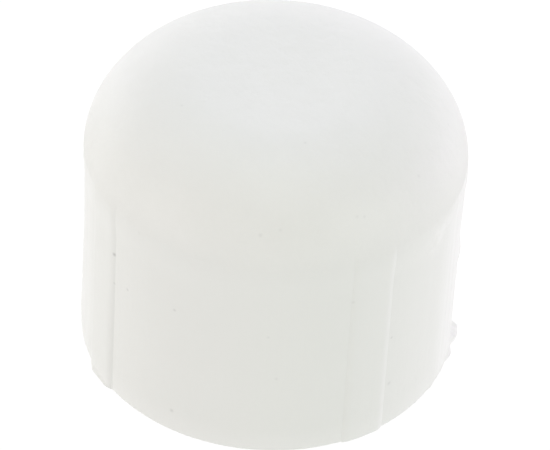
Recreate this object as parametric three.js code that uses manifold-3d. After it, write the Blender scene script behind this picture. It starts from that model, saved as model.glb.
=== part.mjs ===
// Screw-on pipe cap for a G 3/4 parallel pipe thread, with its flat sealing washer.
// Millimetres. +Z runs up the axis from the open mouth to the domed end, and the origin is the centre of the rim.
// The cap is one plastic moulding: a skirt, a dome, four grip ribs and the internal thread. The rubber washer
// lies loose in the relief groove past the last thread, under the shoulder that it seals against.
import * as THREE from "three";
import { mergeVertices } from "three/addons/utils/BufferGeometryUtils.js";
import Module from "manifold-3d";

const wasm = await Module();
wasm.setup();

// G 3/4 thread: 26.44 mm across its roots, 14 turns to the inch, 55 degree Whitworth form.
const THREAD_MAJOR_RADIUS = 13.22;
const THREAD_PITCH = 1.814;
const THREAD_DEPTH = 1.162;
const THREAD_MINOR_RADIUS = THREAD_MAJOR_RADIUS - THREAD_DEPTH;
// Share of the pitch taken by the flat on a crest, and by the flat in a root. The two flanks share what is left.
const THREAD_FLAT_SHARE = 1 / 6;

// Outside of the moulding.
const WALL = 2.78;
const SKIRT_RADIUS = THREAD_MAJOR_RADIUS + WALL;
const HEIGHT = 27.56;
const DOME_EDGE_Z = 19.7;
const DOME_RADIUS = SKIRT_RADIUS + 0.07;
const DOME_ARC_WIDTH = 9.6;
const CROWN_RISE = 0.27;
const DOME_ARC_HEIGHT = HEIGHT - CROWN_RISE - DOME_EDGE_Z;
// The skirt drafts in by twice this from the rim up to the lip, which then widens to meet the dome.
const SKIRT_DRAFT = 0.05;
const LIP_START_Z = 17;
const LIP_END_Z = 19.2;

// Ribs down the skirt, which draft outwards towards the rim and run out flush with the dome. Their roots lie
// inside the wall.
const RIB_COUNT = 4;
const RIB_ANGLE = THREE.MathUtils.degToRad(13.8);
const RIB_RIM_RADIUS = SKIRT_RADIUS + 0.4;
const RIB_TOP_RADIUS = DOME_RADIUS + 0.04;
const RIB_TOP_TAPER = 0.7;
const RIB_ROOT_RADIUS = SKIRT_RADIUS - 1;

// Inside, from the mouth to the ceiling.
const MOUTH_RADIUS = 14;
const CHAMFER_HEIGHT = 1.6;
const GROOVE_START_Z = 14.8;
const GROOVE_RADIUS = THREAD_MAJOR_RADIUS + 0.18;
const GROOVE_HEIGHT = 3;
const SHOULDER_Z = GROOVE_START_Z + GROOVE_HEIGHT;
const HOLLOW_RADIUS = 10.4;
const HOLLOW_ARC = 3.3;
const CEILING_Z = 24.4;
const CEILING_RISE = 0.5;

// Washer, with room above and below it in the groove.
const WASHER_GAP = 0.3;
const WASHER_OUTER_RADIUS = 12.8;
const WASHER_INNER_RADIUS = 8.2;
const WASHER_THICKNESS = GROOVE_HEIGHT - 2 * WASHER_GAP;

// Facets round the axis, along an arc, and how far a cutter runs past the face it cuts.
const ROUND_STEPS = 64;
const THREAD_STEPS = 48;
const ARC_STEPS = 8;
const TOP_STEPS = 3;
const OVERRUN = 1;

// A geometry as a closed solid, with its shared vertices merged.
function solid(geometry) {
  const bare = geometry.clone();
  bare.deleteAttribute("normal");
  bare.deleteAttribute("uv");
  const merged = mergeVertices(bare);
  const vertProperties = merged.attributes.position.array;
  const triVerts = new Uint32Array(merged.index.array);
  return new wasm.Manifold(new wasm.Mesh({ numProp: 3, vertProperties, triVerts }));
}

function geometryOf(made) {
  const { vertProperties, triVerts } = made.getMesh();
  const geometry = new THREE.BufferGeometry();
  geometry.setAttribute("position", new THREE.BufferAttribute(vertProperties, 3));
  geometry.setIndex(new THREE.BufferAttribute(triVerts, 1));
  geometry.computeVertexNormals();
  return geometry;
}

// A ring or plug turned about +Z, from a profile of [radius, z] points that climbs on its outer side.
function turned(profile, steps) {
  const points = profile.map(([radius, z]) => new THREE.Vector2(radius, z));
  return new THREE.LatheGeometry(points, steps).rotateX(Math.PI / 2);
}

// Half of a dome in profile, from its edge up to the axis: a quarter of an ellipse for the corner, then a top
// that would be flat, all of it lifted by a crown that grows with the square of the way in from the edge.
function domeProfile(edgeRadius, edgeZ, arcWidth, arcHeight, crownRise) {
  const crownAt = (radius) => crownRise * (1 - (radius / edgeRadius) ** 2);
  const points = [];
  for (let i = 0; i <= ARC_STEPS; i += 1) {
    const turn = ((Math.PI / 2) * i) / ARC_STEPS;
    const radius = edgeRadius - arcWidth * (1 - Math.cos(turn));
    points.push([radius, edgeZ + arcHeight * Math.sin(turn) + crownAt(radius)]);
  }
  for (let i = TOP_STEPS - 1; i >= 0; i -= 1) {
    const radius = ((edgeRadius - arcWidth) * i) / TOP_STEPS;
    points.push([radius, edgeZ + arcHeight + crownAt(radius)]);
  }
  return points;
}

function outerForm() {
  return solid(
    turned(
      [
        [0, 0],
        [SKIRT_RADIUS + SKIRT_DRAFT, 0],
        [SKIRT_RADIUS - SKIRT_DRAFT, LIP_START_Z],
        [DOME_RADIUS, LIP_END_Z],
        ...domeProfile(DOME_RADIUS, DOME_EDGE_Z, DOME_ARC_WIDTH, DOME_ARC_HEIGHT, CROWN_RISE),
      ],
      ROUND_STEPS,
    ),
  );
}

// One rib before its draft: a block that spans the rib's angle, deeper than it stands proud.
function ribBlock(middleAngle) {
  const reach = RIB_RIM_RADIUS + OVERRUN;
  const start = middleAngle - RIB_ANGLE / 2;
  const outline = new THREE.Shape();
  outline.moveTo(RIB_ROOT_RADIUS * Math.cos(start), RIB_ROOT_RADIUS * Math.sin(start));
  outline.lineTo(reach * Math.cos(start), reach * Math.sin(start));
  outline.lineTo(reach * Math.cos(start + RIB_ANGLE), reach * Math.sin(start + RIB_ANGLE));
  outline.lineTo(
    RIB_ROOT_RADIUS * Math.cos(start + RIB_ANGLE),
    RIB_ROOT_RADIUS * Math.sin(start + RIB_ANGLE),
  );
  return solid(new THREE.ExtrudeGeometry(outline, { depth: HEIGHT, bevelEnabled: false }));
}

// What bounds the ribs on the outside: their draft, and the taper that brings them flush with the dome.
function ribEnvelope() {
  return solid(
    turned(
      [
        [0, 0],
        [RIB_RIM_RADIUS, 0],
        [RIB_TOP_RADIUS, DOME_EDGE_Z],
        [SKIRT_RADIUS - RIB_TOP_TAPER, DOME_EDGE_Z + RIB_TOP_TAPER],
        [0, DOME_EDGE_Z + RIB_TOP_TAPER],
      ],
      ROUND_STEPS,
    ),
  );
}

function ribs() {
  let all = ribBlock(0);
  for (let i = 1; i < RIB_COUNT; i += 1) {
    all = all.add(ribBlock((2 * Math.PI * i) / RIB_COUNT));
  }
  return all.intersect(ribEnvelope());
}

// The space inside the thread: a closed right-hand screw with root, flank, crest and flank in each turn.
// Its four lines run up one spiral, so row n at the end of a turn is row n + 4 at its start. It runs a turn
// or more past the mouth and past the groove, and the half step keeps its corners off the groove's face.
function threadedPlug() {
  const flat = THREAD_FLAT_SHARE * THREAD_PITCH;
  const flank = THREAD_PITCH / 2 - flat;
  const turn = [
    [THREAD_MAJOR_RADIUS, 0],
    [THREAD_MAJOR_RADIUS, flat],
    [THREAD_MINOR_RADIUS, flat + flank],
    [THREAD_MINOR_RADIUS, flat + flank + flat],
  ];
  const turns = Math.ceil(GROOVE_START_Z / THREAD_PITCH) + 3;
  const rows = turns * turn.length;
  const halfStep = THREAD_PITCH / (2 * THREAD_STEPS);
  const startZ = GROOVE_START_Z - (turns - 1) * THREAD_PITCH + halfStep;
  const positions = [];
  const index = [];
  for (let row = 0; row <= rows; row += 1) {
    const [radius, rise] = turn[row % turn.length];
    const z = startZ + Math.floor(row / turn.length) * THREAD_PITCH + rise;
    for (let step = 0; step < THREAD_STEPS; step += 1) {
      const angle = (2 * Math.PI * step) / THREAD_STEPS;
      const climb = (THREAD_PITCH * step) / THREAD_STEPS;
      positions.push(radius * Math.cos(angle), radius * Math.sin(angle), z + climb);
    }
  }
  const at = (row, step) =>
    step < THREAD_STEPS ? row * THREAD_STEPS + step : (row + turn.length) * THREAD_STEPS;
  for (let row = 0; row < rows; row += 1) {
    for (let step = 0; step < THREAD_STEPS; step += 1) {
      const seam = step === THREAD_STEPS - 1;
      if (seam && row + 1 + turn.length > rows) {
        continue;
      }
      index.push(at(row, step), at(row, step + 1), at(row + 1, step + 1));
      index.push(at(row, step), at(row + 1, step + 1), at(row + 1, step));
    }
  }
  closeSpiralEnds(positions, index, at, rows, turn.length);
  const geometry = new THREE.BufferGeometry();
  geometry.setAttribute("position", new THREE.Float32BufferAttribute(positions, 3));
  geometry.setIndex(index);
  return solid(geometry);
}

// Fans from the axis that close the bottom and the top of the spiral, each with the step at its seam.
function closeSpiralEnds(positions, index, at, rows, rowsPerTurn) {
  const bottom = [];
  const top = [];
  for (let step = 0; step < THREAD_STEPS; step += 1) {
    bottom.push(at(0, step));
  }
  for (let row = rowsPerTurn; row > 0; row -= 1) {
    bottom.push(at(row, 0));
  }
  for (let row = rows - rowsPerTurn; row < rows; row += 1) {
    top.push(at(row, THREAD_STEPS - 1));
  }
  for (let step = THREAD_STEPS - 1; step >= 0; step -= 1) {
    top.push(at(rows, step));
  }
  for (const rim of [bottom, top]) {
    const centre = positions.length / 3;
    positions.push(0, 0, positions[3 * rim[0] + 2]);
    rim.forEach((vertex, i) => index.push(centre, rim[(i + 1) % rim.length], vertex));
  }
}

// The thread, cut off square just outside the mouth and just inside the wider groove.
function threadSpace() {
  const reach = THREAD_MAJOR_RADIUS + OVERRUN;
  const keep = solid(
    turned(
      [
        [0, -OVERRUN],
        [reach, -OVERRUN],
        [reach, GROOVE_START_Z + OVERRUN],
        [0, GROOVE_START_Z + OVERRUN],
      ],
      ROUND_STEPS,
    ),
  );
  return threadedPlug().intersect(keep);
}

// The lead-in at the mouth.
function chamferSpace() {
  const slope = (MOUTH_RADIUS - THREAD_MINOR_RADIUS) / CHAMFER_HEIGHT;
  return solid(
    turned(
      [
        [0, -OVERRUN],
        [MOUTH_RADIUS + slope * OVERRUN, -OVERRUN],
        [THREAD_MINOR_RADIUS - slope * OVERRUN, CHAMFER_HEIGHT + OVERRUN],
        [0, CHAMFER_HEIGHT + OVERRUN],
      ],
      ROUND_STEPS,
    ),
  );
}

// The relief groove that holds the washer, and the domed hollow past its shoulder.
function grooveAndHollowSpace() {
  const arcZ = CEILING_Z - CEILING_RISE - HOLLOW_ARC;
  return solid(
    turned(
      [
        [0, GROOVE_START_Z],
        [GROOVE_RADIUS, GROOVE_START_Z],
        [GROOVE_RADIUS, SHOULDER_Z],
        [HOLLOW_RADIUS, SHOULDER_Z],
        ...domeProfile(HOLLOW_RADIUS, arcZ, HOLLOW_ARC, HOLLOW_ARC, CEILING_RISE),
      ],
      ROUND_STEPS,
    ),
  );
}

function capBody() {
  const inside = threadSpace().add(chamferSpace()).add(grooveAndHollowSpace());
  const material = new THREE.MeshStandardMaterial({ color: 0xe6e6e0, roughness: 0.45, metalness: 0 });
  const mesh = new THREE.Mesh(geometryOf(outerForm().add(ribs()).subtract(inside)), material);
  mesh.name = "cap_body";
  return mesh;
}

function sealingWasher() {
  const geometry = turned(
    [
      [WASHER_INNER_RADIUS, 0],
      [WASHER_OUTER_RADIUS, 0],
      [WASHER_OUTER_RADIUS, WASHER_THICKNESS],
      [WASHER_INNER_RADIUS, WASHER_THICKNESS],
      [WASHER_INNER_RADIUS, 0],
    ],
    ROUND_STEPS,
  );
  const material = new THREE.MeshStandardMaterial({ color: 0x1c1c1c, roughness: 0.8, metalness: 0 });
  const mesh = new THREE.Mesh(geometry, material);
  mesh.name = "sealing_washer";
  mesh.position.z = GROOVE_START_Z + WASHER_GAP;
  return mesh;
}

const pipeCap = new THREE.Group();
pipeCap.add(capBody(), sealingWasher());

export default pipeCap;
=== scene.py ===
"""Looks of a screw-on pipe cap: one white plastic moulding, and the rubber washer loose inside it.

Everything is in metres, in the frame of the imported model: +Z runs up the axis from the open mouth to the
domed end, and the origin is the centre of the rim. An azimuth is in degrees round the axis, from -Y
towards +X.
"""

import math

import bpy
import numpy as np
from mathutils import Matrix, Vector


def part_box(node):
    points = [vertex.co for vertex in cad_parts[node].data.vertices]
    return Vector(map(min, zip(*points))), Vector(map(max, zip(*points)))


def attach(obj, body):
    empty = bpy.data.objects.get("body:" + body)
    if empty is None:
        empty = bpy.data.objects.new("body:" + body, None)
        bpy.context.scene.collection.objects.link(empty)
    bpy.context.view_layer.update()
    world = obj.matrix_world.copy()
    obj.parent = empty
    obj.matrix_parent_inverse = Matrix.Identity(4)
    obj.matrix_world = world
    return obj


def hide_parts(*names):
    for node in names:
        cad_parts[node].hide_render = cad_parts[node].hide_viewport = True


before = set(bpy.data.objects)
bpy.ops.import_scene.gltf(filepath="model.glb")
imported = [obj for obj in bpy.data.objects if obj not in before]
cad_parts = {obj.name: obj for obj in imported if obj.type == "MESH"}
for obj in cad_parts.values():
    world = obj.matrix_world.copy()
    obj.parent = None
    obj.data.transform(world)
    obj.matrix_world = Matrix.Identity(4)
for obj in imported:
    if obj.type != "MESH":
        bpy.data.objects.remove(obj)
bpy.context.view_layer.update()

MM = 0.001

# The moulding's driving dimensions. The frame gives the height and how far the ribs reach at the rim.
_, CAP_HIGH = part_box("cap_body")
HEIGHT = CAP_HIGH.z
RIB_REACH = CAP_HIGH.x
SKIRT_RADIUS = RIB_REACH - 0.4 * MM
SKIRT_DRAFT = 0.05 * MM
LIP_START_Z = 17.0 * MM
LIP_END_Z = 19.2 * MM
DOME_EDGE_Z = 19.7 * MM
DOME_RADIUS = SKIRT_RADIUS + 0.07 * MM
DOME_ARC_WIDTH = 9.6 * MM
CROWN_RISE = 0.27 * MM
DOME_ARC_HEIGHT = HEIGHT - CROWN_RISE - DOME_EDGE_Z
RIM_ROUND = 0.3 * MM

# Inside the moulding: a G 3/4 thread, the washer's groove and the hollow under the dome.
THREAD_MAJOR_RADIUS = 13.22 * MM
THREAD_PITCH = 1.814 * MM
THREAD_DEPTH = 1.162 * MM
THREAD_MINOR_RADIUS = THREAD_MAJOR_RADIUS - THREAD_DEPTH
THREAD_ROOT_RISE = 0.17 * MM
MOUTH_RADIUS = 14 * MM
CHAMFER_HEIGHT = 1.6 * MM
THREAD_START_Z = 0.6 * MM
GROOVE_START_Z = 14.8 * MM
GROOVE_RADIUS = THREAD_MAJOR_RADIUS + 0.18 * MM
SHOULDER_Z = 17.8 * MM
HOLLOW_RADIUS = 10.4 * MM
HOLLOW_ARC = 3.3 * MM
CEILING_Z = 24.4 * MM
CEILING_RISE = 0.5 * MM
CORNER_ROUND = 0.15 * MM

# The washer. The frame gives its height and its outer radius.
WASHER_LOW, WASHER_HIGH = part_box("sealing_washer")
WASHER_OUTER_RADIUS = WASHER_HIGH.x
WASHER_INNER_RADIUS = 8.2 * MM
WASHER_EDGE_ROUND = 0.2 * MM

# Ribs: middle azimuth, and how far each stands proud of the skirt at the rim and at the dome's edge.
# Half width and flank are in degrees. A rib runs out into the dome over a short height.
RIBS = (
    (0.2, 0.2 * MM, 0.13 * MM),
    (90.0, 0.22 * MM, 0.13 * MM),
    (180.0, 0.22 * MM, 0.13 * MM),
    (-91.9, 0.24 * MM, 0.13 * MM),
)
RIB_HALF_WIDTH = 7.1
RIB_FLANK = 3.4
RIB_RUN_OUT = 1.4 * MM

# Burrs at the rim: azimuth, half width in degrees, how far out, how far up.
BURRS = (
    (31.4, 2.4, 0.12 * MM, 0.5 * MM),
    (43.0, 14.0, 0.11 * MM, 0.5 * MM),
    (47.8, 4.6, 0.3 * MM, 0.8 * MM),
    (-91.3, 2.8, 0.3 * MM, 0.7 * MM),
    (-94.2, 3.0, 0.25 * MM, 0.7 * MM),
    (-88.0, 3.0, 0.12 * MM, 0.6 * MM),
    (-6.4, 0.7, 0.06 * MM, 0.5 * MM),
    (132.0, 3.0, 0.12 * MM, 0.5 * MM),
    (-140.0, 4.0, 0.1 * MM, 0.5 * MM),
)
# The stub that the moulding gate left on the rim. It swells slowly from its start and ends in a short edge.
# Its start, climb, width and edge are in degrees.
GATE_START = 50.0
GATE_CLIMB = 6.0
GATE_WIDTH = 10.9
GATE_EDGE = 1.8
GATE_REACH = 0.58 * MM
GATE_HEIGHT = 1.05 * MM

# Drag lines down the skirt: how deep, how many steps in a turn and the random seed. One line is deeper.
DRAG_LINES = ((0.004 * MM, 130, 3), (0.003 * MM, 61, 8))
DEEP_LINE_AZIMUTH = 42.7
DEEP_LINE_HALF_WIDTH = 2.6
DEEP_LINE_DEPTH = 0.016 * MM
# Slight swellings and hollows of the skirt: azimuth, half width in degrees, z, half height, how far out.
SWELLINGS = (
    (59.0, 6.0, 7.2 * MM, 1.2 * MM, 0.06 * MM),
    (-122.5, 25.0, 11.2 * MM, 5.5 * MM, -0.06 * MM),
    (-122.5, 25.0, 2.0 * MM, 1.6 * MM, 0.06 * MM),
    (57.0, 16.0, 17.0 * MM, 4.0 * MM, 0.06 * MM),
)
# A blister with flat top and soft ends, and a broad bulge over the skirt's whole height.
BLISTER_AZIMUTH = 59.0
BLISTER_HALF_WIDTH = 7.0
BLISTER_LOW_Z = (8.8 * MM, 9.5 * MM)
BLISTER_HIGH_Z = (11.5 * MM, 9.7 * MM)
BLISTER_REACH = 0.19 * MM
BULGE_AZIMUTH = 56.0
BULGE_HALF_WIDTH = 30.0
BULGE_REACH = 0.05 * MM
UNEVENNESS_FADE = 0.8 * MM

# Pits and specks of dirt: azimuth, z, radius and how dark, on the skirt. The ones in view were located in the
# photo, and the ones at the back are made up.
SKIRT_SPECKS = (
    (-85.3, 15.46 * MM, 0.3 * MM, 0.28),
    (-84.9, 12.3 * MM, 0.22 * MM, 0.11),
    (-78.7, 12.9 * MM, 0.22 * MM, 0.15),
    (-60.4, 13.75 * MM, 0.22 * MM, 0.14),
    (-60.0, 2.4 * MM, 0.29 * MM, 0.15),
    (-31.4, 13.06 * MM, 0.21 * MM, 0.07),
    (-28.3, 8.45 * MM, 0.24 * MM, 0.06),
    (-6.5, 16.05 * MM, 0.26 * MM, 0.07),
    (8.5, 10.25 * MM, 0.2 * MM, 0.14),
    (9.0, 4.95 * MM, 0.3 * MM, 0.11),
    (38.5, 7.0 * MM, 0.21 * MM, 0.08),
    (142.0, 11.6 * MM, 0.24 * MM, 0.14),
    (-157.0, 6.3 * MM, 0.21 * MM, 0.14),
)
# The same on the dome, with the turn up its corner arc in degrees in place of z.
DOME_SPECKS = (
    (-94.5, 75.3, 0.22 * MM, 0.052),
    (-74.0, 2.5, 0.26 * MM, 0.039),
    (-35.6, 27.4, 0.26 * MM, 0.072),
    (-29.6, 31.0, 0.21 * MM, 0.052),
    (-16.5, 78.4, 0.2 * MM, 0.072),
    (-4.5, 33.3, 0.24 * MM, 0.052),
    (-2.0, 32.1, 0.21 * MM, 0.052),
    (23.5, 37.4, 0.26 * MM, 0.052),
    (53.0, 37.4, 0.21 * MM, 0.052),
    (118.0, 48.0, 0.22 * MM, 0.072),
)

# Steps in degrees for the points round the axis, and the turn from which an edge is shaded sharp.
BURRED_STRETCH = (22.0, 64.0)
BURRED_STEP = 0.4
FLANK_STEP = 0.2
NARROWEST_STEP = 0.15
INSIDE_STEP = 3.0
SHARP_EDGE = 50.0
MERGE_WITHIN = 1e-7


def wrapped(angle):
    """An angle in degrees, or an array of them, brought to -180 up to 180."""
    return (angle + 180.0) % 360.0 - 180.0


def ramp(x, start, end):
    """0 before start, 1 after end, and a smooth climb between them."""
    t = np.clip((x - start) / (end - start), 0.0, 1.0)
    return t * t * (3.0 - 2.0 * t)


def hump(x, middle, half_width):
    """1 at the middle, falling smoothly to 0 at half_width on either side."""
    t = np.clip(1.0 - np.abs(x - middle) / half_width, 0.0, 1.0)
    return t * t * (3.0 - 2.0 * t)


def ring_noise(azimuth, steps, seed):
    """Smooth random values from -1 to 1 round the axis, with so many steps in a turn."""
    values = np.random.default_rng(seed).uniform(-1.0, 1.0, steps)
    place = (azimuth % 360.0) / 360.0 * steps
    index = np.floor(place).astype(int)
    t = place - index
    t = t * t * (3.0 - 2.0 * t)
    return values[index % steps] * (1.0 - t) + values[(index + 1) % steps] * t


def rib_rise(azimuth, z):
    """How far the ribs stand proud of the skirt."""
    rise = np.zeros_like(azimuth)
    for middle, at_rim, at_top in RIBS:
        inward = RIB_HALF_WIDTH - np.abs(wrapped(azimuth - middle))
        climb = np.clip(inward / RIB_FLANK, 0.0, 1.0)
        rise += (1.0 - (1.0 - climb) ** 3) * (at_rim + (at_top - at_rim) * z / DOME_EDGE_Z)
    return rise


def burr_rise(azimuth, z):
    """The burrs round the rim and the gate's stub."""
    rise = np.zeros_like(azimuth)
    for middle, half_width, reach, height in BURRS:
        rise += reach * hump(wrapped(azimuth - middle), 0.0, half_width) * ramp(z, height, 0.0)
    across = wrapped(azimuth - GATE_START)
    stub = ramp(across, 0.0, GATE_CLIMB) * ramp(across, GATE_WIDTH, GATE_WIDTH - GATE_EDGE)
    return rise + GATE_REACH * stub * ramp(z, GATE_HEIGHT, 0.5 * GATE_HEIGHT)


def skirt_unevenness(azimuth, z):
    """Drag lines from the mould, slight swellings and hollows, the blister and the bulge."""
    rise = np.zeros_like(azimuth)
    for depth, steps, seed in DRAG_LINES:
        rise += depth * ring_noise(azimuth, steps, seed)
    rise -= DEEP_LINE_DEPTH * hump(wrapped(azimuth - DEEP_LINE_AZIMUTH), 0.0, DEEP_LINE_HALF_WIDTH)
    for middle, half_width, middle_z, half_height, reach in SWELLINGS:
        rise += reach * hump(wrapped(azimuth - middle), 0.0, half_width) * hump(z, middle_z, half_height)
    blister = hump(wrapped(azimuth - BLISTER_AZIMUTH), 0.0, BLISTER_HALF_WIDTH)
    rise += BLISTER_REACH * blister * ramp(z, *BLISTER_LOW_Z) * ramp(z, *BLISTER_HIGH_Z)
    return rise + BULGE_REACH * hump(wrapped(azimuth - BULGE_AZIMUTH), 0.0, BULGE_HALF_WIDTH)


def outer_radius(azimuth, z):
    """The skirt's radius with its ribs, burrs and unevenness, kept inside the frame's box."""
    fade = ramp(z, DOME_EDGE_Z, DOME_EDGE_Z - UNEVENNESS_FADE)
    plain = SKIRT_RADIUS + SKIRT_DRAFT * (1.0 - 2.0 * z / LIP_START_Z)
    plain = plain + (DOME_RADIUS - plain) * ramp(z, LIP_START_Z, LIP_END_Z)
    radius = plain + rib_rise(azimuth, z) + burr_rise(azimuth, z) + skirt_unevenness(azimuth, z) * fade
    near_axis = np.maximum(np.abs(np.sin(np.radians(azimuth))), np.abs(np.cos(np.radians(azimuth))))
    return np.minimum(radius, RIB_REACH / near_axis)


def ring(azimuths, radius, z):
    """A closed ring of points as an array of (x, y, z). Radius and z may be arrays, like the azimuths."""
    turn = np.radians(azimuths)
    radius = np.broadcast_to(radius, turn.shape)
    z = np.broadcast_to(z, turn.shape)
    return np.stack([radius * np.sin(turn), -radius * np.cos(turn), z], axis=1)


def outer_azimuths():
    """Every degree, with finer steps at the ribs' flanks and along the burred stretch of the rim."""
    parts = [np.arange(-180.0, 180.0, 1.0), np.arange(*BURRED_STRETCH, BURRED_STEP)]
    for middle, _, _ in RIBS:
        for side in (-1.0, 1.0):
            foot = middle + side * RIB_HALF_WIDTH
            inward = np.arange(-3.0 * FLANK_STEP, RIB_FLANK + 2.0 * FLANK_STEP, FLANK_STEP)
            parts.append(foot - side * inward)
    every = np.unique(np.round(wrapped(np.concatenate(parts)), 3))
    keep = [every[0]]
    for azimuth in every[1:]:
        if azimuth - keep[-1] > NARROWEST_STEP:
            keep.append(azimuth)
    return np.array(keep)


def dome_point(edge_radius, edge_z, arc_width, arc_height, crown, turn):
    """Radius and z on a dome's corner arc: turn is 0 at the edge and a quarter turn at the flat top."""
    radius = edge_radius - arc_width * (1.0 - math.cos(turn))
    return radius, edge_z + arc_height * math.sin(turn) + crown * (1.0 - (radius / edge_radius) ** 2)


class Shell:
    """A surface made of rings, each joined to the one before it."""

    def __init__(self):
        self.points = []
        self.faces = []
        self.last = None

    def add_points(self, points):
        first = len(self.points)
        self.points.extend(map(tuple, points))
        return list(range(first, first + len(points)))

    def add_ring(self, azimuths, points):
        """Joins a ring to the last one. Rings may differ in how many points they have."""
        indices = self.add_points(points)
        if self.last is not None:
            self.join(self.last, (list(azimuths), indices))
        self.last = (list(azimuths), indices)

    def join(self, one, two):
        (angles_one, ring_one), (angles_two, ring_two) = one, two
        count_one, count_two = len(ring_one), len(ring_two)
        if count_one == count_two:
            for i in range(count_one):
                j = (i + 1) % count_one
                self.faces.append((ring_one[i], ring_two[i], ring_two[j], ring_one[j]))
            return
        at_one = at_two = 0
        while at_one < count_one or at_two < count_two:
            next_one = angles_one[at_one + 1] if at_one + 1 < count_one else angles_one[0] + 360.0
            next_two = angles_two[at_two + 1] if at_two + 1 < count_two else angles_two[0] + 360.0
            here_one, here_two = ring_one[at_one % count_one], ring_two[at_two % count_two]
            if at_two >= count_two or (at_one < count_one and next_one <= next_two):
                at_one += 1
                self.faces.append((here_one, here_two, ring_one[at_one % count_one]))
            else:
                at_two += 1
                self.faces.append((here_one, here_two, ring_two[at_two % count_two]))

    def start_at(self, point, azimuths, points):
        """A fan from one point to the first ring."""
        tip = self.add_points([point])[0]
        self.add_ring(azimuths, points)
        ring_now = self.last[1]
        for i, index in enumerate(ring_now):
            self.faces.append((tip, index, ring_now[(i + 1) % len(ring_now)]))

    def end_at(self, point):
        """A fan from the last ring to one point."""
        tip = self.add_points([point])[0]
        ring_now = self.last[1]
        for i, index in enumerate(ring_now):
            self.faces.append((index, tip, ring_now[(i + 1) % len(ring_now)]))

    def to_object(self, name):
        """A Blender object. Points in one place are merged, and faces that shrank to nothing are left out."""
        keys = np.round(np.array(self.points) / MERGE_WITHIN).astype(np.int64)
        _, first, where = np.unique(keys, axis=0, return_index=True, return_inverse=True)
        where = where.ravel()
        points = np.array(self.points)[first]
        faces = []
        for face in self.faces:
            corners = []
            for index in face:
                merged = int(where[index])
                if merged not in corners:
                    corners.append(merged)
            if len(corners) > 2:
                faces.append(corners)
        mesh = bpy.data.meshes.new(name)
        mesh.from_pydata(points.tolist(), [], faces)
        mesh.validate()
        mesh.update()
        made = bpy.data.objects.new(name, mesh)
        bpy.context.scene.collection.objects.link(made)
        return made


def add_dome(shell, azimuths):
    """From the crown's middle out and down to the dome's edge. The middle rings have fewer points."""
    flat_radius = DOME_RADIUS - DOME_ARC_WIDTH
    share_kept = (8, 8, 8, 8, 4, 4, 4, 2, 2)
    flat_steps = len(share_kept)
    for i, share in enumerate(share_kept, start=1):
        radius = flat_radius * i / flat_steps
        z = DOME_EDGE_Z + DOME_ARC_HEIGHT + CROWN_RISE * (1.0 - (radius / DOME_RADIUS) ** 2)
        some = azimuths[::share]
        if i == 1:
            shell.start_at((0.0, 0.0, HEIGHT), some, ring(some, radius, z))
        else:
            shell.add_ring(some, ring(some, radius, z))
    arc_steps = 26
    coarse_above = 18
    for i in range(arc_steps - 1, 0, -1):
        turn = math.pi / 2 * i / arc_steps
        radius, z = dome_point(DOME_RADIUS, DOME_EDGE_Z, DOME_ARC_WIDTH, DOME_ARC_HEIGHT, CROWN_RISE, turn)
        some = azimuths[::2] if i > coarse_above else azimuths
        blend = ramp(z, DOME_EDGE_Z + RIB_RUN_OUT, DOME_EDGE_Z)
        shell.add_ring(some, ring(some, radius + blend * rib_rise(some, DOME_EDGE_Z), z))


def add_skirt(shell, azimuths):
    """From the dome's edge down the skirt to the rounded rim."""
    top = DOME_EDGE_Z
    burr_top = 1.5 * MM
    skirt_steps = 46
    for i in range(skirt_steps + 1):
        z = top + (burr_top - top) * i / skirt_steps
        shell.add_ring(azimuths, ring(azimuths, outer_radius(azimuths, z), z))
    low_steps = 9
    for i in range(1, low_steps + 1):
        z = burr_top + (RIM_ROUND - burr_top) * i / low_steps
        shell.add_ring(azimuths, ring(azimuths, outer_radius(azimuths, z), z))
    round_steps = 5
    for i in range(1, round_steps + 1):
        turn = math.pi / 2 * i / round_steps
        z = RIM_ROUND * (1.0 - math.sin(turn))
        radius = outer_radius(azimuths, z) - RIM_ROUND * (1.0 - math.cos(turn))
        shell.add_ring(azimuths, ring(azimuths, radius, z))


def thread_radius(azimuths, z):
    """The thread's radius, or the lead-in's where that is wider."""
    angle = azimuths - 90.0
    phase = (z - GROOVE_START_Z - THREAD_ROOT_RISE) / THREAD_PITCH - angle / 360.0
    wave = 4.0 * np.abs(phase - np.floor(phase) - 0.5) - 1.0
    wave = np.clip(1.5 * wave, -1.0, 1.0)
    wave = 1.5 * wave - 0.5 * wave**3
    thread = THREAD_MINOR_RADIUS + THREAD_DEPTH * (0.5 + 0.5 * wave)
    lead_in = MOUTH_RADIUS - (MOUTH_RADIUS - THREAD_MINOR_RADIUS) * z / CHAMFER_HEIGHT
    return np.maximum(thread, lead_in)


def add_thread(shell, azimuths):
    """The thread as one grid whose rows climb with the screw, cut off level at both ends."""
    rows_a_turn = 14
    turns = math.ceil((GROOVE_START_Z - THREAD_START_Z) / THREAD_PITCH) + 1
    rows = turns * rows_a_turn
    climb = THREAD_PITCH * (azimuths - azimuths[0]) / 360.0
    grid = []
    for row in range(rows + 1):
        z = THREAD_START_Z - THREAD_PITCH + THREAD_PITCH * row / rows_a_turn + climb
        z = np.clip(z, THREAD_START_Z, GROOVE_START_Z)
        grid.append(shell.add_points(ring(azimuths, thread_radius(azimuths, z), z)))
    shell.join(shell.last, (list(azimuths), grid[0]))
    count = len(azimuths)
    for row in range(rows):
        for i in range(count):
            right = (grid[row][i + 1], grid[row + 1][i + 1]) if i + 1 < count else None
            if right is None and row + 1 + rows_a_turn <= rows:
                right = (grid[row + rows_a_turn][0], grid[row + 1 + rows_a_turn][0])
            if right is None:
                right = (grid[rows][0], grid[rows][0])
            shell.faces.append((grid[row][i], grid[row + 1][i], right[1], right[0]))
    shell.last = (list(azimuths), grid[rows])


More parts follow.
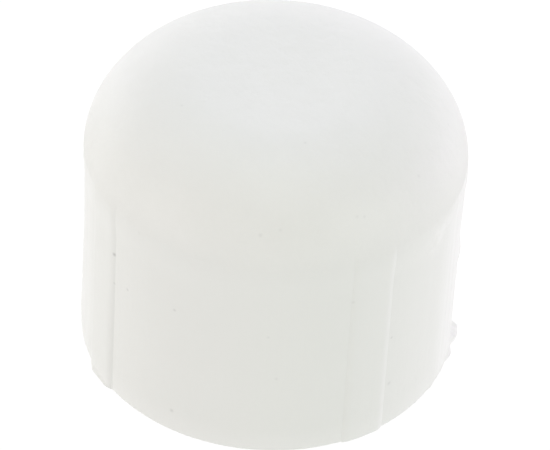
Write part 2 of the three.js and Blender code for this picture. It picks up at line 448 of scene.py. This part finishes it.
def add_inside(shell, azimuths):
    """The rim's face, the lead-in, the thread, the groove, the shoulder and the hollow to its ceiling."""
    shell.add_ring(azimuths, ring(azimuths, MOUTH_RADIUS + CORNER_ROUND, 0.0))
    shell.add_ring(azimuths, ring(azimuths, MOUTH_RADIUS, 0.3 * CORNER_ROUND))
    lead_in = thread_radius(azimuths, THREAD_START_Z)
    shell.add_ring(azimuths, ring(azimuths, lead_in, THREAD_START_Z))
    add_thread(shell, azimuths)
    hollow_edge = HOLLOW_RADIUS + CORNER_ROUND
    profile = [
        (GROOVE_RADIUS - CORNER_ROUND, GROOVE_START_Z),
        (GROOVE_RADIUS, GROOVE_START_Z + CORNER_ROUND),
        (GROOVE_RADIUS, SHOULDER_Z - CORNER_ROUND),
        (GROOVE_RADIUS - CORNER_ROUND, SHOULDER_Z),
        (hollow_edge, SHOULDER_Z),
        (HOLLOW_RADIUS, SHOULDER_Z + CORNER_ROUND),
    ]
    arc_z = CEILING_Z - CEILING_RISE - HOLLOW_ARC
    arc_steps = 10
    for i in range(arc_steps + 1):
        turn = math.pi / 2 * i / arc_steps
        profile.append(dome_point(HOLLOW_RADIUS, arc_z, HOLLOW_ARC, HOLLOW_ARC, CEILING_RISE, turn))
    flat_radius = HOLLOW_RADIUS - HOLLOW_ARC
    for share in (0.75, 0.5, 0.25):
        radius = flat_radius * share
        profile.append((radius, CEILING_Z - CEILING_RISE * (radius / HOLLOW_RADIUS) ** 2))
    for radius, z in profile:
        shell.add_ring(azimuths, ring(azimuths, radius, z))
    shell.end_at((0.0, 0.0, CEILING_Z))


def smooth(piece):
    """Smooth shading, apart from sharp edges."""
    mesh = piece.data
    mesh.polygons.foreach_set("use_smooth", [True] * len(mesh.polygons))
    mesh.set_sharp_from_angle(angle=math.radians(SHARP_EDGE))


def cap_moulding():
    shell = Shell()
    outside = outer_azimuths()
    inside = np.arange(-180.0, 180.0, INSIDE_STEP)
    add_dome(shell, outside)
    add_skirt(shell, outside)
    add_inside(shell, inside)
    piece = shell.to_object("cap_moulding")
    smooth(piece)
    piece.data.materials.append(cap_plastic())
    return piece


def rounded_profile(inner, outer, low, high, edge_round, steps):
    """A rectangle's outline with rounded corners, as (radius, z), once round from the inner low corner."""
    corners = (
        (inner + edge_round, low + edge_round, 180.0),
        (outer - edge_round, low + edge_round, 270.0),
        (outer - edge_round, high - edge_round, 0.0),
        (inner + edge_round, high - edge_round, 90.0),
    )
    profile = []
    for radius, z, start in corners:
        for i in range(steps + 1):
            turn = math.radians(start + 90.0 * i / steps)
            profile.append((radius + edge_round * math.cos(turn), z + edge_round * math.sin(turn)))
    return profile


def sealing_ring():
    shell = Shell()
    azimuths = np.arange(-180.0, 180.0, INSIDE_STEP)
    low, high = WASHER_LOW.z, WASHER_HIGH.z
    profile = rounded_profile(WASHER_INNER_RADIUS, WASHER_OUTER_RADIUS, low, high, WASHER_EDGE_ROUND, 4)
    for radius, z in [*profile, profile[0]]:
        shell.add_ring(azimuths, ring(azimuths, radius, z))
    piece = shell.to_object("rubber_washer")
    smooth(piece)
    piece.data.materials.append(washer_rubber())
    return piece


def speck_places():
    """Each speck's point on the surface, with its radius and how dark it is."""
    places = []
    for azimuth, z, size, dark in SKIRT_SPECKS:
        here = np.array([azimuth])
        places.append((ring(here, outer_radius(here, z), z)[0], size, dark))
    for azimuth, turn, size, dark in DOME_SPECKS:
        turn = math.radians(turn)
        radius, z = dome_point(DOME_RADIUS, DOME_EDGE_Z, DOME_ARC_WIDTH, DOME_ARC_HEIGHT, CROWN_RISE, turn)
        places.append((ring(np.array([azimuth]), radius, z)[0], size, dark))
    return places


class Nodes:
    """Short calls for a material's node tree."""

    def __init__(self, name):
        self.material = bpy.data.materials.new(name)
        self.material.use_nodes = True
        self.tree = self.material.node_tree
        self.shader = self.tree.nodes["Principled BSDF"]
        self.object_place = self.add("ShaderNodeTexCoord").outputs["Object"]

    def add(self, kind, **settings):
        node = self.tree.nodes.new(kind)
        for key, value in settings.items():
            setattr(node, key, value)
        return node

    def link(self, output, socket):
        self.tree.links.new(output, socket)

    def math(self, operation, one, two):
        node = self.add("ShaderNodeMath", operation=operation)
        for socket, value in zip(node.inputs, (one, two)):
            if isinstance(value, (int, float)):
                socket.default_value = value
            else:
                self.link(value, socket)
        return node.outputs[0]

    def remap(self, value, low, high, to_low, to_high):
        node = self.add("ShaderNodeMapRange", interpolation_type="SMOOTHSTEP")
        self.link(value, node.inputs["Value"])
        names = ("From Min", "From Max", "To Min", "To Max")
        for name, number in zip(names, (low, high, to_low, to_high)):
            node.inputs[name].default_value = number
        return node.outputs["Result"]

    def noise(self, place, size, detail=2.0, roughness=0.5):
        """Noise from 0 to 1 with features of about that size, in the units of the place."""
        node = self.add("ShaderNodeTexNoise")
        self.link(place, node.inputs["Vector"])
        node.inputs["Scale"].default_value = 1.0 / size
        node.inputs["Detail"].default_value = detail
        node.inputs["Roughness"].default_value = roughness
        return node.outputs["Fac"]

    def bump(self, height, distance, strength, under=None):
        node = self.add("ShaderNodeBump")
        self.link(height, node.inputs["Height"])
        node.inputs["Distance"].default_value = distance
        node.inputs["Strength"].default_value = strength
        if under is not None:
            self.link(under, node.inputs["Normal"])
        return node.outputs["Normal"]

    def band(self, value, low, high, soft):
        """1 between low and high, falling to 0 within soft outside them."""
        rise = self.remap(value, low - soft, low, 0.0, 1.0)
        return self.math("MULTIPLY", rise, self.remap(value, high, high + soft, 1.0, 0.0))

    def spot(self, place, middle, size, height):
        """The height within a small ball round the middle, falling to 0 at its edge."""
        distance = self.add("ShaderNodeVectorMath", operation="DISTANCE")
        self.link(place, distance.inputs[0])
        distance.inputs[1].default_value = tuple(middle)
        return self.remap(distance.outputs["Value"], 0.0, size, height, 0.0)

    def mix_colour(self, share, one, two):
        node = self.add("ShaderNodeMix", data_type="RGBA")
        self.link(share, node.inputs[0])
        for socket, value in ((node.inputs[6], one), (node.inputs[7], two)):
            if isinstance(value, tuple):
                socket.default_value = (*value, 1.0)
            else:
                self.link(value, socket)
        return node.outputs[2]


# The skirt is smoother than the dome, and a little darker as painted shade. The gloss changes sharply
# just above the dome's edge, and the painted shade fades out over a greater height.
GLOSS_CHANGE_Z = 20.1 * MM
GLOSS_CHANGE_SOFT = 0.2 * MM
PAINTED_SHADE_START_Z = 19.7 * MM
PAINTED_SHADE_END_Z = 21.9 * MM
PAINTED_SHADE_SHARE = 0.6
# Patches of the skirt: first and last azimuth and soft margin in degrees. The rough one has its z as well.
# The patch of painted light, the painted light on the rim and the skirt's painted shade bring the
# brightness nearer to the photo's. What they stand for may be light and not plastic. The scuff patch is
# real scuffs, with painted light in their paleness.
ROUGH_PATCH = (28.0, 42.0, 11.0)
ROUGH_PATCH_Z = (17.6 * MM, 19.0 * MM, 1.9 * MM)
# The scuff patch: real scuffs, with painted light in their paleness. The next is a patch of painted light.
SCUFF_AND_PAINTED_LIGHT_PATCH = (42.0, 74.0, 14.0)
PAINTED_LIGHT_PATCH = (-125.0, -104.0, 6.0)
PAINTED_LIGHT_SHARE = 0.5
# How much the rough patch is paler, and how much painted light lies on the rim and up to what height.
ROUGH_PALENESS = (0.06, 0.4)
# Painted light on the rim, fading out up to the height below.
PAINTED_RIM_LIGHT = 0.22
PAINTED_RIM_LIGHT_HEIGHT = 3.0 * MM
# The plastic's colours, among them the skirt's painted shade and a paler white for scuffs and painted
# light, and the sizes and depths of its textures.
WHITE_DARKER = (0.795, 0.81, 0.766)
WHITE_LIGHTER = (0.805, 0.82, 0.776)
# The skirt's white is darker as painted shade.
SKIRT_PAINTED_SHADE_WHITE = (0.77, 0.785, 0.74)
# A paler white, laid on for scuffs and for painted light.
SCUFF_AND_PAINTED_LIGHT_WHITE = (0.91, 0.92, 0.89)
SPECK_BLACK = (0.02, 0.02, 0.02)
CLOUD_SIZE = 5.0 * MM
GRAIN_SIZE = 1.2 * MM
GRAIN_DEPTH = 0.18 * MM
GRAIN_LESS_ON_SKIRT = 0.5
GRAIN_MORE_IF_ROUGH = 1.2
DRAG_SIZE = 0.55 * MM
DRAG_DEPTH = 0.035 * MM
DRAG_STRETCH = 0.03
BUMP_STRENGTH = 0.5
PLASTIC_ROUGHNESS = (0.5, 0.58)
SKIRT_SMOOTHER_BY = 0.13
PLASTIC_IOR = 1.49


def cap_plastic():
    """White moulded plastic: grain, drag lines, rough and scuff patches, clouding, specks, painted light and
    shade.
    """
    nodes = Nodes("cap_plastic")
    place = nodes.object_place
    parts = nodes.add("ShaderNodeSeparateXYZ")
    nodes.link(place, parts.inputs[0])
    x, y, z = parts.outputs
    azimuth = nodes.math("ARCTAN2", x, nodes.math("MULTIPLY", y, -1.0))
    unrolled = nodes.add("ShaderNodeCombineXYZ")
    nodes.link(nodes.math("MULTIPLY", azimuth, SKIRT_RADIUS), unrolled.inputs[0])
    nodes.link(nodes.math("MULTIPLY", z, DRAG_STRETCH), unrolled.inputs[1])
    gloss_start, gloss_end = GLOSS_CHANGE_Z - GLOSS_CHANGE_SOFT, GLOSS_CHANGE_Z + GLOSS_CHANGE_SOFT
    on_skirt = nodes.remap(z, gloss_start, gloss_end, 1.0, 0.0)
    rough = nodes.band(azimuth, *map(math.radians, ROUGH_PATCH))
    rough = nodes.math("MULTIPLY", rough, nodes.band(z, *ROUGH_PATCH_Z))
    scuffs_and_painted_light = nodes.band(azimuth, *map(math.radians, SCUFF_AND_PAINTED_LIGHT_PATCH))
    # A patch of painted light, added at a share to the scuff patch, whose paleness is partly painted light.
    painted_light = nodes.band(azimuth, *map(math.radians, PAINTED_LIGHT_PATCH))
    scuffs_and_painted_light = nodes.math("ADD", scuffs_and_painted_light, nodes.math("MULTIPLY", painted_light, PAINTED_LIGHT_SHARE))
    scuffs_and_painted_light = nodes.math("MULTIPLY", scuffs_and_painted_light, on_skirt)

    drag = nodes.noise(unrolled.outputs[0], DRAG_SIZE, 3.0)
    drag_height = nodes.math("MULTIPLY", drag, nodes.math("ADD", on_skirt, scuffs_and_painted_light))
    grain = nodes.noise(place, GRAIN_SIZE, 4.0, 0.6)
    grain_share = nodes.math("SUBTRACT", 1.0, nodes.math("MULTIPLY", on_skirt, GRAIN_LESS_ON_SKIRT))
    grain_share = nodes.math("ADD", grain_share, nodes.math("MULTIPLY", rough, GRAIN_MORE_IF_ROUGH))
    grain_height = nodes.math("MULTIPLY", grain, grain_share)
    surface = nodes.bump(grain_height, GRAIN_DEPTH, BUMP_STRENGTH)
    surface = nodes.bump(drag_height, DRAG_DEPTH, BUMP_STRENGTH, surface)
    nodes.link(surface, nodes.shader.inputs["Normal"])

    clouds = nodes.noise(place, CLOUD_SIZE, 2.0)
    white = nodes.mix_colour(nodes.remap(clouds, 0.35, 0.65, 0.0, 1.0), WHITE_DARKER, WHITE_LIGHTER)
    # Painted shade: the skirt and the foot of the dome darker than the top.
    painted_shade = nodes.remap(z, PAINTED_SHADE_START_Z, PAINTED_SHADE_END_Z, PAINTED_SHADE_SHARE, 0.0)
    white = nodes.mix_colour(painted_shade, white, SKIRT_PAINTED_SHADE_WHITE)
    # Paler: the scuffs' partly painted light, the rough patch's mottling, and painted light on the rim.
    pale = nodes.math("MULTIPLY", scuffs_and_painted_light, drag)
    mottled = nodes.math("MULTIPLY", rough, nodes.remap(grain, 0.35, 0.65, *ROUGH_PALENESS))
    pale = nodes.math("MAXIMUM", pale, mottled)
    pale = nodes.math("MAXIMUM", pale, nodes.remap(z, 0.0, PAINTED_RIM_LIGHT_HEIGHT, PAINTED_RIM_LIGHT, 0.0))
    white = nodes.mix_colour(pale, white, SCUFF_AND_PAINTED_LIGHT_WHITE)
    dark = None
    for middle, size, height in speck_places():
        spot = nodes.spot(place, middle, size, height)
        dark = spot if dark is None else nodes.math("MAXIMUM", dark, spot)
    nodes.link(nodes.mix_colour(dark, white, SPECK_BLACK), nodes.shader.inputs["Base Color"])
    roughness = nodes.remap(grain, 0.3, 0.7, *PLASTIC_ROUGHNESS)
    roughness = nodes.math("SUBTRACT", roughness, nodes.math("MULTIPLY", on_skirt, SKIRT_SMOOTHER_BY))
    nodes.link(roughness, nodes.shader.inputs["Roughness"])
    nodes.shader.inputs["IOR"].default_value = PLASTIC_IOR
    return nodes.material


RUBBER_BLACK = (0.018, 0.018, 0.019)
RUBBER_DUSTY = (0.05, 0.05, 0.048)
RUBBER_GRAIN_SIZE = 0.25 * MM
RUBBER_GRAIN_DEPTH = 0.03 * MM
DUST_SIZE = 2.0 * MM
RUBBER_ROUGHNESS = (0.55, 0.75)


def washer_rubber():
    """Black rubber with a fine matt grain and a trace of moulding dust."""
    nodes = Nodes("washer_rubber")
    place = nodes.object_place
    grain = nodes.noise(place, RUBBER_GRAIN_SIZE, 4.0, 0.7)
    dust = nodes.noise(place, DUST_SIZE, 3.0)
    nodes.link(nodes.bump(grain, RUBBER_GRAIN_DEPTH, 0.6), nodes.shader.inputs["Normal"])
    colour = nodes.mix_colour(nodes.remap(dust, 0.45, 0.75, 0.0, 1.0), RUBBER_BLACK, RUBBER_DUSTY)
    nodes.link(colour, nodes.shader.inputs["Base Color"])
    nodes.link(nodes.remap(grain, 0.3, 0.7, *RUBBER_ROUGHNESS), nodes.shader.inputs["Roughness"])
    return nodes.material


FLOOR_SIZE = 3.0
FLOOR_SHADE = 0.1
FLOOR_GLOW = 0.92
FLOOR_ROUGHNESS = 0.9
WORLD_GLOW = 0.2
CAMERA_AZIMUTH = -32.5
SOFTBOX_DISTANCE = 0.9
SOFTBOX_WIDTH = 0.6
STRIP_HEIGHT = 0.28
# Softboxes: name, azimuth from the camera's, elevation, height, power in watts and colour. Five low strips
# stand in a half ring behind the cap, with a panel above the middle one. One panel stands to the left of the
# camera, one to its right, and one hangs overhead. The powers and colours were fitted to the photo.
SOFTBOXES = (
    ("low_back", 180.0, 10.0, STRIP_HEIGHT, 1.04, (1.1, 1.0, 1.0)),
    ("low_back_left", -140.0, 10.0, STRIP_HEIGHT, 0.88, (1.06, 1.0, 1.14)),
    ("low_back_right", 140.0, 10.0, STRIP_HEIGHT, 0.52, (1.0, 1.0, 0.84)),
    ("low_left", -110.0, 10.0, STRIP_HEIGHT, 0.7, (0.94, 1.0, 0.88)),
    ("low_right", 110.0, 10.0, STRIP_HEIGHT, 0.88, (1.32, 1.0, 1.55)),
    ("back", 180.0, 45.0, SOFTBOX_WIDTH, 1.78, (0.96, 1.0, 1.27)),
    ("front_left", -60.0, 22.0, SOFTBOX_WIDTH, 2.87, (1.1, 1.0, 1.03)),
    ("front_right", 60.0, 22.0, SOFTBOX_WIDTH, 2.74, (0.99, 1.0, 0.97)),
    ("overhead", 0.0, 89.9, SOFTBOX_WIDTH, 2.98, (0.99, 1.0, 0.97)),
)


def floor():
    """A plain floor that is pale by its own glow, like a lit product table, and clear from below."""
    half = FLOOR_SIZE / 2
    mesh = bpy.data.meshes.new("floor")
    corners = [(-half, -half, 0.0), (half, -half, 0.0), (half, half, 0.0), (-half, half, 0.0)]
    mesh.from_pydata(corners, [], [(0, 1, 2, 3)])
    made = bpy.data.objects.new("floor", mesh)
    bpy.context.scene.collection.objects.link(made)
    nodes = Nodes("floor_white")
    nodes.shader.inputs["Base Color"].default_value = (FLOOR_SHADE, FLOOR_SHADE, FLOOR_SHADE, 1.0)
    nodes.shader.inputs["Roughness"].default_value = FLOOR_ROUGHNESS
    nodes.shader.inputs["Emission Color"].default_value = (1.0, 1.0, 1.0, 1.0)
    nodes.shader.inputs["Emission Strength"].default_value = FLOOR_GLOW
    clear = nodes.add("ShaderNodeBsdfTransparent")
    mixed = nodes.add("ShaderNodeMixShader")
    nodes.link(nodes.add("ShaderNodeNewGeometry").outputs["Backfacing"], mixed.inputs[0])
    nodes.link(nodes.shader.outputs[0], mixed.inputs[1])
    nodes.link(clear.outputs[0], mixed.inputs[2])
    nodes.link(mixed.outputs[0], nodes.tree.nodes["Material Output"].inputs["Surface"])
    mesh.materials.append(nodes.material)


def direction(azimuth, elevation):
    """A unit vector towards that azimuth and elevation."""
    turn, lift = math.radians(azimuth), math.radians(elevation)
    return Vector((math.sin(turn) * math.cos(lift), -math.cos(turn) * math.cos(lift), math.sin(lift)))


def softboxes():
    for name, azimuth, elevation, height, power, colour in SOFTBOXES:
        light = bpy.data.lights.new(name, "AREA")
        light.shape = "RECTANGLE"
        light.size = SOFTBOX_WIDTH
        light.size_y = height
        light.energy = power
        light.color = colour
        made = bpy.data.objects.new(name, light)
        made.location = direction(CAMERA_AZIMUTH + azimuth, elevation) * SOFTBOX_DISTANCE
        made.rotation_mode = "QUATERNION"
        made.rotation_quaternion = (-made.location).to_track_quat("-Z", "Y")
        made.visible_camera = False
        bpy.context.scene.collection.objects.link(made)


def surroundings():
    world = bpy.data.worlds.new("studio")
    world.use_nodes = True
    background = world.node_tree.nodes["Background"]
    background.inputs["Color"].default_value = (1.0, 1.0, 1.0, 1.0)
    background.inputs["Strength"].default_value = WORLD_GLOW
    bpy.context.scene.world = world
    bpy.context.scene.view_settings.view_transform = "Standard"


CAMERA_ELEVATION = 41.35
CAMERA_DISTANCE = 304.2 * MM
CAMERA_ROLL = 3.46
CAMERA_LENS = 234.0
CAMERA_SENSOR = 36.0
TARGET_SIDE = 0.294 * MM
TARGET_HEIGHT = 11.235 * MM


def camera():
    """Looks down on the cap from between its left and front ribs, through a long lens."""
    data = bpy.data.cameras.new("camera")
    data.lens = CAMERA_LENS
    data.sensor_width = CAMERA_SENSOR
    data.clip_start = 0.01
    data.clip_end = 10.0
    made = bpy.data.objects.new("camera", data)
    back = direction(CAMERA_AZIMUTH, CAMERA_ELEVATION)
    side = direction(CAMERA_AZIMUTH + 90.0, 0.0)
    target = side * TARGET_SIDE + Vector((0.0, 0.0, TARGET_HEIGHT))
    aim = (-back).to_track_quat("-Z", "Y").to_matrix().to_4x4()
    roll = Matrix.Rotation(math.radians(CAMERA_ROLL), 4, "Z")
    made.matrix_world = Matrix.Translation(target + back * CAMERA_DISTANCE) @ aim @ roll
    bpy.context.scene.collection.objects.link(made)
    bpy.context.scene.camera = made


def dress():
    """Puts the pieces on their bodies in place of the CAD nodes."""
    moulding = cap_moulding()
    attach(moulding, "cap")
    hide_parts("cap_body")
    washer = sealing_ring()
    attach(washer, "washer")
    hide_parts("sealing_washer")


dress()
floor()
softboxes()
surroundings()
camera()

bpy.context.view_layer.update()
